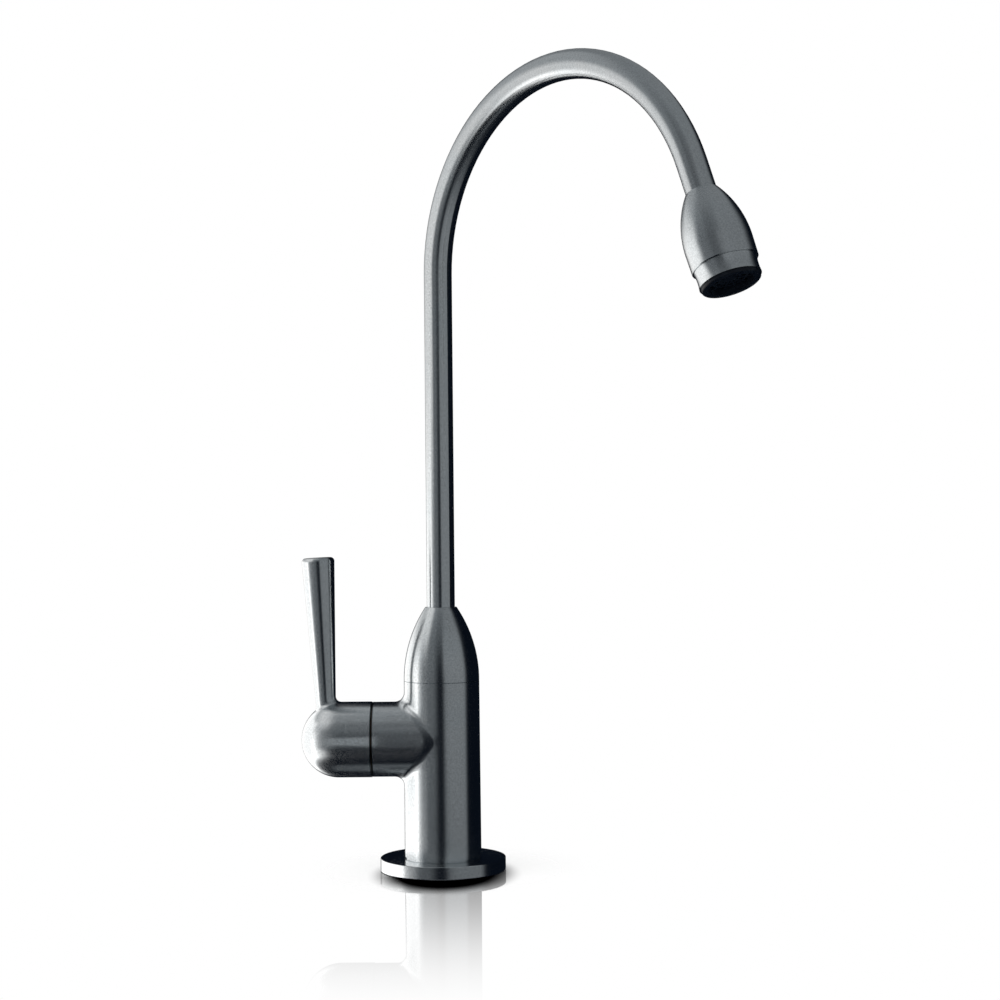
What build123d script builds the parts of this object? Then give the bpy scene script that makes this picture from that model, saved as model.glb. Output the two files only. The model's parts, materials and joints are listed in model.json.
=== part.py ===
from build123d import *
from math import cos, radians, sin, tan
import os

# Deck-mounted filter faucet: a slim column with a side valve, a lever handle and a turning gooseneck spout.
# Lengths are in millimetres and angles in degrees. The origin is the middle of the deck hole on the
# deck's top face, +Z is up, and the valve barrel points along -X.

# Clearances
seat_gap = 0.05  # between turned pieces that fit inside one another
running_gap = 0.08  # radial gap of a piece that turns in another
axial_play = 0.05  # end float of the turning pieces
seam_gap = 0.3  # open seam between the handle and the valve barrel
edge_break = 0.25  # small chamfer on turned edges that show
ring_section_flats = 8  # flats round the section of a rubber sealing ring

# Base plate and its seal
flange_diameter = 50.0
flange_thickness = 5.0
flange_edge_round = 0.3
seal_diameter = 46.0
seal_thickness = 2.0
seal_stand = 0.2  # how far the seal holds the plate off the deck

# Column
column_diameter = 30.1  # at the seam under the bonnet
column_foot_diameter = 30.6
column_height = 70.3  # from the base plate to the seam under the bonnet
foot_groove_height = 0.6
foot_groove_depth = 0.5
spigot_diameter = 17.0
spigot_length = 3.0

# Side barrel
barrel_diameter = 29.8
barrel_rise = 47.1  # barrel axis above the base plate
barrel_reach = 27.45  # end face from the column's axis
barrel_fillet = 3.8

# Waterways
inlet_bore = 6.0
outlet_bore = 3.6
outlet_set_in = 0.3  # from the chamber's floor to the side of the outlet bore

# Valve chamber in the barrel
chamber_floor = 4.0  # from the column's axis
chamber_diameter = 17.4
chamber_depth = 11.5
housing_thread_diameter = 19.0
barrel_counterbore_depth = 1.6

# Valve cartridge
valve_seal_thickness = 2.0
valve_seal_bore = 10.8
disc_diameter = 14.4
fixed_disc_thickness = 3.5
moving_disc_thickness = 3.0
disc_port_circle = 7.6
disc_port_width = 2.8
disc_port_angle = 62.0
drive_bar_width = 3.0
drive_bar_length = 12.0
drive_bar_depth = 1.2
drive_bar_rise = 1.5
stem_plate_thickness = 1.5
stem_diameter = 8.0
housing_nose_diameter = 16.6
housing_seal_stand = 0.6
housing_collar_diameter = 23.6
housing_collar_thickness = 1.2
housing_hex = 18.0  # across flats
housing_hex_height = 4.0
housing_neck_diameter = 12.0
housing_neck_length = 2.0
window_width = 7.0
window_height = 2.6
collar_ring_section = 1.5  # section diameter of the sealing ring under the housing's collar
stem_ring_section = 1.4
stem_ring_place = 6.0  # from the inner end of the stem's bearing
clip_thickness = 0.8
clip_diameter = 11.0
clip_groove_depth = 0.45
clip_opening = 5.0
spline_diameter = 7.8
spline_depth = 0.35
spline_teeth = 20
spline_length = 8.0

# Handle
hub_diameter = 30.1
hub_length = 13.3  # straight part, before the round end
hub_cavity_diameter = 24.4
hub_floor_gap = 0.6
socket_end_gap = 0.5
lever_reach = 72.8  # lever tip from the hub's axis
lever_tip_diameter = 13.2
lever_root_diameter = 8.0
lever_lean = 2.65
lever_set_in = 17.9  # lever axis from the hub's open end, measured on the hub's axis
lever_root_fillet = 2.2
lever_tip_round = 1.6
grub_screw_diameter = 4.0
grub_screw_length = 8.0
grub_screw_hex = 2.0
grub_screw_hex_depth = 2.2

# Spout joint on top of the column
neck_diameter = 24.0
neck_height = 9.5
socket_diameter = 16.0
socket_depth = 19.0
slip_washer_thickness = 1.0
slip_washer_diameter = 21.0
ferrule_collar_diameter = 20.0
ferrule_collar_thickness = 1.9
ferrule_end_gap = 1.0
ferrule_bore = 8.0
ferrule_land = 1.6  # solid length past each sealing ring's groove
spout_ring_section = 1.8
spout_ring_groove_width = 2.3
spout_ring_pitch = 4.4
bushing_flange_thickness = 1.0
bushing_diameter = 14.4
bushing_length = 9.5

# Bonnet
bonnet_height = 29.4
bonnet_straight = 0.5
bonnet_top_diameter = 12.6
bonnet_hole_gap = 0.25

# Spout
spout_diameter = 11.16
spout_wall = 1.0
riser_height = 132.6  # from the bonnet to the start of the arch
arch_radius = 72.0
arch_sweep = 157.6
spout_tail = 11.9  # straight run from the arch to the nozzle
spout_rest_turn = 47.8  # the spout points this far round from +X towards -Y at rest
nozzle_grip = 7.0  # length of spout inside the nozzle

# Nozzle bell
bell_neck_diameter = 12.0
bell_diameter = 24.2
bell_mouth_diameter = 23.9
bell_length = 28.5
bell_widest = 20.5  # from the neck to where the bell is widest
bell_thread_diameter = 20.2
bell_thread_depth = 7.3
bell_chamber_diameter = 15.0
bell_chamber_depth = 8.0

# Aerator
aerator_ring_length = 6.0
aerator_ring_top_diameter = 22.6
aerator_ring_waist_diameter = 22.0
aerator_ring_lip_diameter = 22.4
aerator_ring_waist_drop = 3.2
aerator_ring_wall = 0.7
aerator_washer_thickness = 1.6
aerator_washer_bore = 13.0
diffuser_flange_thickness = 1.1
diffuser_plug_length = 2.4
diffuser_jets = 8
diffuser_jet_diameter = 1.2
diffuser_jet_circle = 11.0
insert_rim_diameter = 21.3
insert_rim_thickness = 1.4
insert_rim_stand = 1.3  # how far the insert's rim stands out of the ring
insert_wall = 1.1
insert_face_recess = 2.1
grille_thickness = 1.8
grille_ribs = 12
grille_rib_width = 0.8
grille_hub_diameter = 3.4
grille_ring_diameters = (7.6, 12.2)
grille_ring_width = 0.9
screen_thickness = 0.5

# Shank and the hardware under the deck
shank_diameter = 11.11
shank_below_deck = 54.0
shank_engagement = 14.0
shank_bore = 6.0
deck_thickness = 30.0  # the deck that the clamp is set for
deck_washer_thickness = 2.5
deck_washer_diameter = 28.0
clamp_washer_thickness = 2.0
clamp_washer_diameter = 30.0
lock_washer_thickness = 0.9
lock_washer_diameter = 19.0
lock_washer_teeth = 10
lock_washer_tooth_depth = 1.8
mounting_nut_hex = 17.5
mounting_nut_height = 6.4
hex_chamfer_angle = 30.0
washer_bore_gap = 0.3

# Inlet fitting for the supply tube
tube_bore = 6.5
tube_insertion = 6.0  # depth of the tube's socket in the shank
sleeve_length = 6.0
sleeve_diameter = 9.0
sleeve_tip_diameter = 7.2
sleeve_cone_length = 2.0
inlet_nut_hex = 14.2
inlet_nut_overlap = 8.0  # thread engaged on the shank
inlet_nut_floor = 1.6

# Heights and places that follow from the sizes above
flange_top = seal_stand + flange_thickness
spigot_bottom = flange_top - spigot_length
shank_top = spigot_bottom + shank_engagement
seam_height = flange_top + column_height
barrel_height = flange_top + barrel_rise
neck_top = seam_height + neck_height
socket_floor = neck_top - socket_depth
collar_bottom = neck_top + slip_washer_thickness + axial_play
collar_top = collar_bottom + ferrule_collar_thickness
bushing_bottom = collar_top + axial_play
bonnet_shoulder = bushing_bottom + bushing_flange_thickness
bushing_top = bonnet_shoulder + bushing_length
bonnet_top = seam_height + bonnet_height
spout_rise = bonnet_top + riser_height
fixed_disc_start = chamber_floor + valve_seal_thickness
moving_disc_start = fixed_disc_start + fixed_disc_thickness
moving_disc_end = moving_disc_start + moving_disc_thickness
stem_plate_start = moving_disc_end + drive_bar_rise
stem_plate_end = stem_plate_start + stem_plate_thickness
stem_bearing_start = stem_plate_end + axial_play
housing_end = barrel_reach + housing_collar_thickness + housing_hex_height + housing_neck_length
clip_start = housing_end + axial_play
spline_start = clip_start + clip_thickness + hub_floor_gap
hub_mouth = barrel_reach + seam_gap
hub_round_start = hub_mouth + hub_length
washer_seat = bell_length - bell_thread_depth
diffuser_start = washer_seat + aerator_washer_thickness
insert_start = diffuser_start + diffuser_flange_thickness
ring_shoulder = bell_length + seat_gap
ring_end = ring_shoulder + aerator_ring_length
insert_rim_start = ring_end - insert_rim_thickness
insert_end = ring_end + insert_rim_stand
grille_end = insert_end - insert_face_recess
grille_start = grille_end - grille_thickness
shank_end = -shank_below_deck
washer_bore = shank_diameter + 2 * washer_bore_gap
tube_stop = shank_end + tube_insertion
deck_washer_bottom = -deck_thickness - deck_washer_thickness
clamp_washer_bottom = deck_washer_bottom - clamp_washer_thickness
lock_washer_bottom = clamp_washer_bottom - lock_washer_thickness
mounting_nut_bottom = lock_washer_bottom - mounting_nut_height
sleeve_top = shank_end + sleeve_cone_length - seat_gap
sleeve_bottom = sleeve_top - sleeve_length
inlet_nut_top = shank_end + inlet_nut_overlap
inlet_nut_bottom = sleeve_bottom - inlet_nut_floor

# Frames of the three groups: along the barrel's axis, along the nozzle's axis, and the spout's turn
on_barrel = Pos(0, 0, barrel_height) * Rot(0, -90, 0)
spout_turn = Rot(0, 0, -spout_rest_turn)


# A point on the arch's centre line, at an angle round from its start
def arch_point(angle):
    across = arch_radius - arch_radius * cos(radians(angle))
    return Vector(across, 0, spout_rise + arch_radius * sin(radians(angle)))


arch_end = arch_point(arch_sweep)
tail_direction = Vector(sin(radians(arch_sweep)), 0, cos(radians(arch_sweep)))
nozzle_neck = arch_end + tail_direction * spout_tail
on_nozzle = spout_turn * Pos(*nozzle_neck) * Rot(0, arch_sweep, 0)

base_up = (Align.CENTER, Align.CENTER, Align.MIN)


# A solid turned about Z from the corners of its half section, each a radius and a height
def turned(*corners):
    return revolve(Plane.XZ * make_face(Polyline(*corners, close=True)), Axis.Z)


# A turned solid with one arc in its half section, closed by straight runs through the corners
def turned_on_arc(arc, *corners):
    straight = Polyline(arc @ 1, *corners, arc @ 0)
    return revolve(Plane.XZ * make_face(arc + straight), Axis.Z)


def rod(diameter, bottom, top):
    return Pos(0, 0, bottom) * Cylinder(diameter / 2, top - bottom, align=base_up)


def ring(outer_diameter, inner_diameter, bottom, top):
    return rod(outer_diameter, bottom, top) - rod(inner_diameter, bottom, top)


def hexagonal_prism(across_flats, bottom, top):
    outline = RegularPolygon(across_flats / 2, 6, major_radius=False)
    return extrude(Pos(0, 0, bottom) * outline, top - bottom)


# A nut's hexagon: its corners are turned off at the top, and at the bottom too unless it grows from a collar
def nut_hexagon(across_flats, bottom, top, chamfer_bottom=True):
    flat_radius = across_flats / 2
    corner_radius = flat_radius / cos(radians(30))
    drop = (corner_radius - flat_radius) * tan(radians(hex_chamfer_angle))
    bottom_radius = flat_radius if chamfer_bottom else corner_radius
    blank = turned(
        (0, bottom),
        (bottom_radius, bottom),
        (corner_radius, bottom + drop),
        (corner_radius, top - drop),
        (flat_radius, top),
        (0, top),
    )
    return hexagonal_prism(across_flats, bottom, top) & blank


# A rubber sealing ring, squeezed flat where it bears on its groove and bore, so its section has flats
def sealing_ring(inner_diameter, section, height):
    flats = RegularPolygon(section / 2, ring_section_flats, major_radius=False)
    place = Pos((inner_diameter + section) / 2, 0) * Rot(0, 0, 180 / ring_section_flats)
    return Pos(0, 0, height) * revolve(Plane.XZ * (place * flats), Axis.Z)


# A sealing ring in a shaft's groove stands out by half the running gap
def shaft_ring_bore(shaft_diameter, section):
    return shaft_diameter + running_gap - 2 * section


def save(name, piece):
    export_step(piece, f"parts/{name}.step")


# Base plate: a turned disc, recessed underneath for the seal, with a hole that the column's spigot fills
def make_base_flange():
    plate = rod(flange_diameter, seal_stand, flange_top)
    plate = fillet(plate.edges().group_by(Axis.Z)[-1], flange_edge_round)
    plate = chamfer(plate.edges().group_by(Axis.Z)[0], edge_break)
    recess = rod(seal_diameter + 2 * seat_gap, seal_stand, seal_thickness)
    hole = rod(spigot_diameter + 2 * seat_gap, seal_stand, flange_top)
    return plate - recess - hole


# Rubber seal: fills the plate's recess and stands proud of it onto the deck
def make_base_seal():
    return ring(seal_diameter, washer_bore, 0, seal_thickness)


# Column, side barrel and threaded neck in one casting, bored for the water, the valve and the spout
def make_valve_body():
    column_foot = flange_top + foot_groove_height
    column = turned(
        (0, column_foot),
        (column_foot_diameter / 2, column_foot),
        (column_diameter / 2, seam_height),
        (0, seam_height),
    )
    barrel = on_barrel * rod(barrel_diameter, 0, barrel_reach)
    casting = column + barrel
    casting = fillet(new_edges(column, barrel, combined=casting), barrel_fillet)
    casting += rod(column_foot_diameter - 2 * foot_groove_depth, flange_top, column_foot)
    casting += rod(spigot_diameter, spigot_bottom, flange_top)
    casting += rod(neck_diameter, seam_height, neck_top)
    inlet = rod(inlet_bore, flange_top, barrel_height + inlet_bore / 2)
    shank_hole = rod(shank_diameter + 2 * seat_gap, spigot_bottom, shank_top)
    spout_socket = rod(socket_diameter, socket_floor, neck_top)
    outlet = Pos(-chamber_floor - outlet_set_in - outlet_bore / 2, 0, 0) * rod(
        outlet_bore, barrel_height, socket_floor
    )
    port = rod(inlet_bore, 0, chamber_floor)
    chamber = rod(chamber_diameter, chamber_floor, chamber_floor + chamber_depth)
    tapped = rod(housing_thread_diameter + 2 * seat_gap, chamber_floor + chamber_depth, barrel_reach)
    counterbore = rod(
        housing_thread_diameter + 2 * (seat_gap + collar_ring_section),
        barrel_reach - barrel_counterbore_depth,
        barrel_reach,
    )
    valve_bores = on_barrel * (port + chamber + tapped + counterbore)
    return casting - inlet - shank_hole - spout_socket - outlet - valve_bores


# Bonnet: a bullet-shaped cap over the neck that keeps the spout's collar down
def make_bonnet():
    side = column_diameter / 2
    curve_start = seam_height + bonnet_straight
    bullet = TangentArc((side, curve_start), (bonnet_top_diameter / 2, bonnet_top), tangent=(0, 1))
    solid = turned_on_arc(
        bullet,
        (0, bonnet_top),
        (0, seam_height),
        (side - edge_break, seam_height),
        (side, seam_height + edge_break),
    )
    thread_bore = rod(neck_diameter + 2 * seat_gap, seam_height, bonnet_shoulder)
    bushing_bore = rod(bushing_diameter + 2 * seat_gap, bonnet_shoulder, bushing_top + seat_gap)
    hole = rod(spout_diameter + 2 * (running_gap + bonnet_hole_gap), seam_height, bonnet_top)
    return solid - thread_bore - bushing_bore - hole


# Spout joint: slip washer, flanged bushing, the collared ferrule on the tube's end and its sealing rings
def make_slip_washer():
    washer_top = neck_top + slip_washer_thickness
    return ring(slip_washer_diameter, socket_diameter + 2 * seat_gap, neck_top, washer_top)


def make_swivel_bushing():
    sleeve = rod(bushing_diameter, bushing_bottom, bushing_top)
    collar = rod(ferrule_collar_diameter, bushing_bottom, bonnet_shoulder)
    bore = rod(spout_diameter + 2 * running_gap, bushing_bottom, bushing_top)
    return sleeve + collar - bore


def spout_ring_heights():
    first = socket_floor + ferrule_end_gap + ferrule_land + spout_ring_groove_width / 2
    return [first, first + spout_ring_pitch]


def ferrule_shoulder():
    return spout_ring_heights()[-1] + spout_ring_groove_width / 2 + ferrule_land


def spout_ring_bore():
    return shaft_ring_bore(socket_diameter - 2 * running_gap, spout_ring_section)


def make_spout_ferrule():
    bottom = socket_floor + ferrule_end_gap
    sleeve = rod(socket_diameter - 2 * running_gap, bottom, collar_bottom)
    collar = rod(ferrule_collar_diameter, collar_bottom, collar_top)
    waterway = rod(ferrule_bore, bottom, ferrule_shoulder())
    tube_socket = rod(spout_diameter + 2 * seat_gap, ferrule_shoulder(), collar_top)
    ferrule = sleeve + collar - waterway - tube_socket
    for height in spout_ring_heights():
        ferrule -= ring(
            socket_diameter,
            spout_ring_bore() - 2 * seat_gap,
            height - spout_ring_groove_width / 2,
            height + spout_ring_groove_width / 2,
        )
    return ferrule


def make_spout_o_rings():
    rings = [sealing_ring(spout_ring_bore(), spout_ring_section, h) for h in spout_ring_heights()]
    return Compound(children=rings)


# Spout: one tube, straight up, round the arch and straight down into the nozzle
def make_spout_tube():
    foot = ferrule_shoulder()
    riser = Line((0, 0, foot), (0, 0, spout_rise))
    arch = ThreePointArc((0, 0, spout_rise), arch_point(arch_sweep / 2), arch_end)
    tail = Line(arch_end, nozzle_neck + tail_direction * nozzle_grip)
    section = Circle(spout_diameter / 2) - Circle(spout_diameter / 2 - spout_wall)
    return spout_turn * sweep(Pos(0, 0, foot) * section, path=riser + arch + tail)


# Nozzle bell: swells from the tube's width to its widest, bored for the tube, the water and the aerator
def make_nozzle_bell():
    swell = TangentArc((bell_diameter / 2, bell_widest), (bell_neck_diameter / 2, 0), tangent=(0, -1))
    shell = turned_on_arc(
        swell,
        (0, 0),
        (0, bell_length),
        (bell_mouth_diameter / 2 - edge_break, bell_length),
        (bell_mouth_diameter / 2, bell_length - edge_break),
    )
    tube_hole = rod(spout_diameter + 2 * seat_gap, 0, nozzle_grip)
    throat = turned(
        (0, nozzle_grip),
        (spout_diameter / 2 - spout_wall, nozzle_grip),
        (bell_chamber_diameter / 2, washer_seat - bell_chamber_depth),
        (bell_chamber_diameter / 2, washer_seat),
        (0, washer_seat),
    )
    thread = rod(bell_thread_diameter, washer_seat, bell_length)
    return on_nozzle * (shell - tube_hole - throat - thread)


# Aerator: washer, jet plate, screen and the black insert, all held in a screw ring
def aerator_thread():
    return bell_thread_diameter - 2 * seat_gap


def insert_body_diameter():
    return aerator_thread() - 2 * aerator_ring_wall - 2 * seat_gap


def make_aerator_ring():
    waist = ring_shoulder + aerator_ring_waist_drop
    flare = ThreePointArc(
        (aerator_ring_top_diameter / 2, ring_shoulder),
        (aerator_ring_waist_diameter / 2, waist),
        (aerator_ring_lip_diameter / 2, ring_end),
    )
    band = turned_on_arc(flare, (0, ring_end), (0, ring_shoulder))
    spigot = rod(aerator_thread(), insert_start, ring_shoulder)
    bore = rod(aerator_thread() - 2 * aerator_ring_wall, insert_start, ring_end)
    rim_seat = rod(insert_rim_diameter + 2 * seat_gap, insert_rim_start, ring_end)
    return on_nozzle * (band + spigot - bore - rim_seat)


def make_aerator_washer():
    return on_nozzle * ring(aerator_thread(), aerator_washer_bore, washer_seat, diffuser_start)


def make_aerator_diffuser():
    plug_diameter = insert_body_diameter() - 2 * insert_wall - 2 * seat_gap
    plug_end = insert_start + diffuser_plug_length
    plate = rod(aerator_thread(), diffuser_start, insert_start)
    plate += rod(plug_diameter, insert_start, plug_end)
    jets = [
        location * rod(diffuser_jet_diameter, diffuser_start, plug_end)
        for location in PolarLocations(diffuser_jet_circle / 2, diffuser_jets)
    ]
    return on_nozzle * (plate - jets)


def make_aerator_screen():
    inside = insert_body_diameter() - 2 * insert_wall
    return on_nozzle * rod(inside - 2 * seat_gap, grille_start - screen_thickness, grille_start)


def make_aerator_insert():
    outside = insert_body_diameter()
    inside = outside - 2 * insert_wall
    cup = rod(outside, insert_start, insert_rim_start)
    cup += rod(insert_rim_diameter, insert_rim_start, insert_end)
    cup = chamfer(cup.edges().group_by(Axis.Z)[-1], edge_break)
    cup -= rod(inside, insert_start, insert_end)
    grille = rod(grille_hub_diameter, grille_start, grille_end)
    for diameter in grille_ring_diameters:
        grille += ring(diameter + grille_ring_width, diameter - grille_ring_width, grille_start, grille_end)
    rib_length = outside / 2 - insert_wall / 2
    rib = Pos(0, 0, grille_start) * Box(
        rib_length, grille_rib_width, grille_thickness, align=(Align.MIN, Align.CENTER, Align.MIN)
    )
    ribs = [location * rib for location in PolarLocations(0, grille_ribs)]
    return on_nozzle * (cup + grille + ribs)


# Valve cartridge: every piece is turned on the barrel's axis, measured from the column's axis
def make_cartridge_seal():
    return on_barrel * ring(disc_diameter, valve_seal_bore, chamber_floor, fixed_disc_start)


# The two kidney-shaped water ports of a ceramic disc, across from one another
def disc_ports(start, end, turn):
    middle = CenterArc((0, 0), disc_port_circle / 2, -disc_port_angle / 2, disc_port_angle)
    kidney = SlotArc(middle, disc_port_width)
    port = extrude(Pos(0, 0, start) * kidney, end - start)
    return [location * Rot(0, 0, turn) * port for location in PolarLocations(0, 2)]


def drive_bar(gap, start, end):
    return Pos(0, 0, start) * Box(
        drive_bar_length + 2 * gap, drive_bar_width + 2 * gap, end - start, align=base_up
    )


def make_fixed_disc():
    disc = rod(disc_diameter, fixed_disc_start, moving_disc_start)
    return on_barrel * (disc - disc_ports(fixed_disc_start, moving_disc_start, 0))


def make_moving_disc():
    disc = rod(disc_diameter - 2 * running_gap, moving_disc_start, moving_disc_end)
    disc -= disc_ports(moving_disc_start, moving_disc_end, 90)
    slot = drive_bar(seat_gap, moving_disc_end - drive_bar_depth - seat_gap, moving_disc_end)
    return on_barrel * (disc - slot)


def stem_ring_height():
    return stem_bearing_start + stem_ring_place


def stem_ring_bore():
    return shaft_ring_bore(stem_diameter, stem_ring_section)


def spline_profile(gap):
    tip = spline_diameter / 2 + gap
    root = tip - spline_depth
    corners = []
    for tooth in range(spline_teeth):
        corners.append(Vector(tip, 0).rotate(Axis.Z, 360 * tooth / spline_teeth))
        corners.append(Vector(root, 0).rotate(Axis.Z, 360 * (tooth + 0.5) / spline_teeth))
    return make_face(Polyline(*corners, close=True))


def make_cartridge_stem():
    stem = rod(disc_diameter - 2 * running_gap, stem_plate_start, stem_plate_end)
    stem += drive_bar(0, moving_disc_end - drive_bar_depth, stem_plate_start)
    stem += rod(stem_diameter, stem_plate_end, spline_start)
    stem += extrude(Pos(0, 0, spline_start) * spline_profile(0), spline_length)
    ring_groove = ring(
        stem_diameter,
        stem_ring_bore() - 2 * seat_gap,
        stem_ring_height() - stem_ring_section / 2 - seat_gap,
        stem_ring_height() + stem_ring_section / 2 + seat_gap,
    )
    clip_groove = ring(
        stem_diameter,
        stem_diameter - 2 * clip_groove_depth,
        clip_start - axial_play,
        clip_start + clip_thickness + axial_play,
    )
    return on_barrel * (stem - ring_groove - clip_groove)


def make_stem_o_ring():
    return on_barrel * sealing_ring(stem_ring_bore(), stem_ring_section, stem_ring_height())


def make_stem_clip():
    bore = stem_diameter - 2 * clip_groove_depth + 2 * seat_gap
    clip = ring(clip_diameter, bore, clip_start, clip_start + clip_thickness)
    mouth = Pos(0, 0, clip_start) * Box(
        clip_diameter, clip_opening, clip_thickness, align=(Align.MIN, Align.CENTER, Align.MIN)
    )
    return on_barrel * (clip - mouth)


def make_cartridge_housing():
    collar_end = barrel_reach + housing_collar_thickness
    hex_end = collar_end + housing_hex_height
    housing = rod(housing_nose_diameter, chamber_floor + housing_seal_stand, chamber_floor + chamber_depth)
    housing += rod(housing_thread_diameter, chamber_floor + chamber_depth, barrel_reach)
    housing += rod(housing_collar_diameter, barrel_reach, collar_end)
    housing += nut_hexagon(housing_hex, collar_end, hex_end, chamfer_bottom=False)
    housing += rod(housing_neck_diameter, hex_end, housing_end)
    disc_bore = rod(disc_diameter + 2 * seat_gap, chamber_floor, stem_bearing_start)
    stem_bore = rod(stem_diameter + 2 * running_gap, stem_bearing_start, housing_end)
    windows = Pos(0, 0, moving_disc_end) * Box(window_width, housing_thread_diameter, window_height)
    return on_barrel * (housing - disc_bore - stem_bore - windows)


def make_cartridge_o_ring():
    height = barrel_reach - collar_ring_section / 2
    return on_barrel * sealing_ring(housing_thread_diameter, collar_ring_section, height)


# Handle: a round-ended hub and a lever that widens to its tip, in one casting on the splined stem
def make_lever_handle():
    hub_radius = hub_diameter / 2
    round_end = TangentArc((hub_radius, hub_round_start), (0, hub_round_start + hub_radius), tangent=(0, 1))
    hub = turned_on_arc(round_end, (0, hub_mouth), (hub_radius, hub_mouth))
    taper = (lever_tip_diameter - lever_root_diameter) / (lever_reach - hub_radius)
    axis_diameter = lever_root_diameter - taper * hub_radius
    cone = Cone(axis_diameter / 2, lever_tip_diameter / 2, lever_reach, align=base_up)
    lever = Pos(0, 0, hub_mouth + lever_set_in) * Rot(0, 90 - lever_lean, 0) * cone
    handle = hub + lever
    handle = fillet(new_edges(hub, lever, combined=handle), lever_root_fillet)
    handle = fillet(handle.edges().sort_by(Axis.X)[-1], lever_tip_round)
    mouth_edge = handle.edges().filter_by(GeomType.CIRCLE).sort_by(Axis.Z)[0]
    handle = chamfer(mouth_edge, edge_break)
    cavity = rod(hub_cavity_diameter, hub_mouth, spline_start)
    socket_length = spline_length + socket_end_gap
    spline_socket = extrude(Pos(0, 0, spline_start) * spline_profile(seat_gap), socket_length)
    screw_hole = grub_screw_place() * rod(grub_screw_diameter + 2 * seat_gap, 0, hub_diameter)
    return on_barrel * (handle - cavity - spline_socket - screw_hole)


# The grub screw's axis runs from the middle of the splines out through the hub, opposite the lever
def grub_screw_place():
    return Pos(0, 0, spline_start + spline_length / 2) * Rot(0, -90, 0)


def make_handle_grub_screw():
    tip = spline_diameter / 2 + seat_gap
    head = tip + grub_screw_length
    screw = rod(grub_screw_diameter, tip, head)
    screw = chamfer(screw.edges().filter_by(GeomType.CIRCLE), edge_break)
    key_hole = hexagonal_prism(grub_screw_hex, head - grub_screw_hex_depth, head)
    return on_barrel * grub_screw_place() * (screw - key_hole)


# Threaded shank: screws up into the column, carries the clamp hardware and takes the supply tube
def make_threaded_shank():
    shank = rod(shank_diameter, shank_end, shank_top)
    waterway = rod(shank_bore, tube_stop, shank_top)
    socket = rod(tube_bore, shank_end, tube_stop)
    return shank - waterway - socket - sleeve_cone_seat(shank_end, sleeve_top)


# The cone that one end of the inlet sleeve wedges into, from its wide mouth to its narrow end
def sleeve_cone_seat(mouth, end):
    return turned(
        (0, mouth),
        (sleeve_diameter / 2 + seat_gap, mouth),
        (sleeve_tip_diameter / 2 + seat_gap, end),
        (0, end),
    )


def make_deck_washer():
    return ring(deck_washer_diameter, washer_bore, deck_washer_bottom, -deck_thickness)


def make_clamp_washer():
    return ring(clamp_washer_diameter, washer_bore, clamp_washer_bottom, deck_washer_bottom)


# Star washer: a thin ring with teeth round its edge, as wide as the notches between them
def make_lock_washer():
    washer = ring(lock_washer_diameter, washer_bore, lock_washer_bottom, clamp_washer_bottom)
    notch_width = lock_washer_diameter * sin(radians(360 / lock_washer_teeth / 4))
    notch = Pos(0, 0, lock_washer_bottom) * Box(
        2 * lock_washer_tooth_depth, notch_width, lock_washer_thickness, align=base_up
    )
    notches = [location * notch for location in PolarLocations(lock_washer_diameter / 2, lock_washer_teeth)]
    return washer - notches


def make_mounting_nut():
    nut = nut_hexagon(mounting_nut_hex, mounting_nut_bottom, lock_washer_bottom)
    return nut - rod(shank_diameter + 2 * seat_gap, mounting_nut_bottom, lock_washer_bottom)


# Inlet fitting: a sleeve with a cone at each end, squeezed into the shank's mouth by its nut
def make_inlet_sleeve():
    bore = tube_bore / 2
    tip = sleeve_tip_diameter / 2
    side = sleeve_diameter / 2
    return turned(
        (bore, sleeve_bottom),
        (tip, sleeve_bottom),
        (side, sleeve_bottom + sleeve_cone_length),
        (side, sleeve_top - sleeve_cone_length),
        (tip, sleeve_top),
        (bore, sleeve_top),
    )


def make_inlet_nut():
    nut = nut_hexagon(inlet_nut_hex, inlet_nut_bottom, inlet_nut_top)
    cone_mouth = sleeve_bottom + sleeve_cone_length
    thread = rod(shank_diameter + 2 * seat_gap, cone_mouth, inlet_nut_top)
    tube_hole = rod(tube_bore, inlet_nut_bottom, inlet_nut_top)
    return nut - thread - sleeve_cone_seat(cone_mouth, sleeve_bottom) - tube_hole


pieces = {
    "base_flange": make_base_flange,
    "base_seal": make_base_seal,
    "valve_body": make_valve_body,
    "bonnet": make_bonnet,
    "slip_washer": make_slip_washer,
    "swivel_bushing": make_swivel_bushing,
    "spout_ferrule": make_spout_ferrule,
    "spout_o_rings": make_spout_o_rings,
    "spout_tube": make_spout_tube,
    "nozzle_bell": make_nozzle_bell,
    "aerator_ring": make_aerator_ring,
    "aerator_washer": make_aerator_washer,
    "aerator_diffuser": make_aerator_diffuser,
    "aerator_screen": make_aerator_screen,
    "aerator_insert": make_aerator_insert,
    "cartridge_seal": make_cartridge_seal,
    "fixed_disc": make_fixed_disc,
    "moving_disc": make_moving_disc,
    "cartridge_stem": make_cartridge_stem,
    "stem_o_ring": make_stem_o_ring,
    "stem_clip": make_stem_clip,
    "cartridge_housing": make_cartridge_housing,
    "cartridge_o_ring": make_cartridge_o_ring,
    "lever_handle": make_lever_handle,
    "handle_grub_screw": make_handle_grub_screw,
    "threaded_shank": make_threaded_shank,
    "deck_washer": make_deck_washer,
    "clamp_washer": make_clamp_washer,
    "lock_washer": make_lock_washer,
    "mounting_nut": make_mounting_nut,
    "inlet_sleeve": make_inlet_sleeve,
    "inlet_nut": make_inlet_nut,
}

os.makedirs("parts", exist_ok=True)
for name, make in pieces.items():
    save(name, make())
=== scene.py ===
import json
import math

import bpy
import numpy as np
from mathutils import Matrix, Vector


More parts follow.
